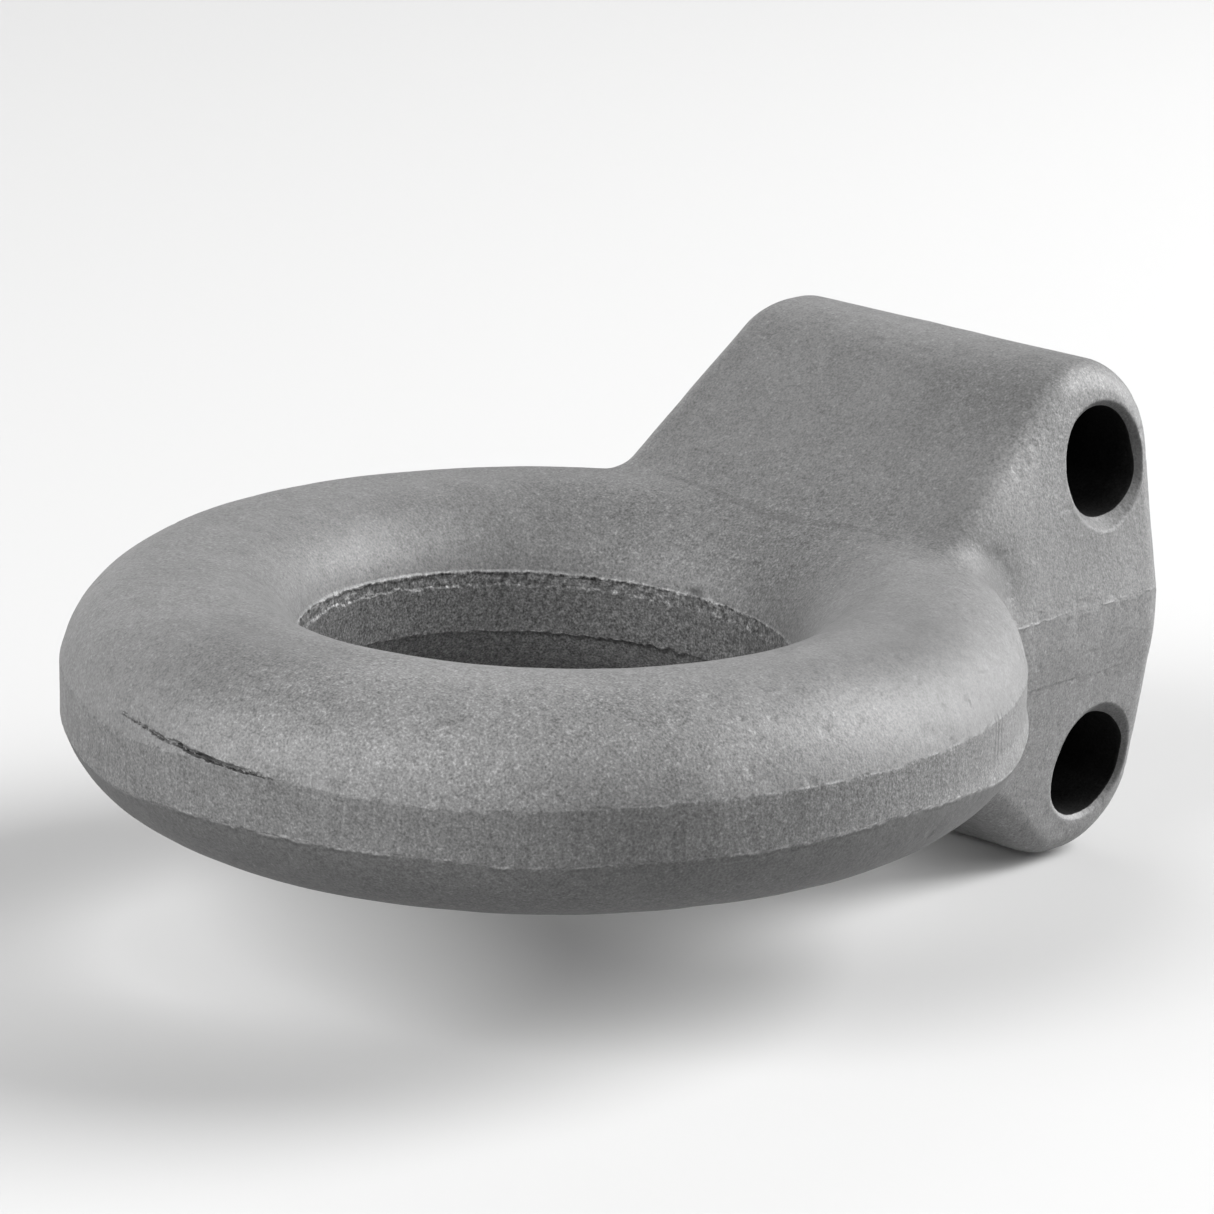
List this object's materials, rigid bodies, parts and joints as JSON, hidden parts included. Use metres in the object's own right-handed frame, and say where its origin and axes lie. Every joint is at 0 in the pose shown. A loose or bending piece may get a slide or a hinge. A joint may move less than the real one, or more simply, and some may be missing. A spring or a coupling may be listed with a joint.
{
  "type": "tow eye",
  "caption": "Forged steel bolt-on tow eye: a thick round ring with a trimmed bore on a wedge-shaped lug with cross-drilled bolt holes.",
  "frame": {"origin": "centre of the eye bore, on the forging's parting plane", "axes": "+Z along the eye's axis, +Y from the eye to the lug, +X along the bolt holes"},
  "size_m": [0.1492, 0.1768, 0.083],
  "materials": {
    "forged_steel": "raw drop-forged steel, shot-blasted matt, with sheared flash bands along the parting line"
  },
  "bodies": {
    "root": {"forged_eye": "forged_steel"}
  },
  "joints": []
}
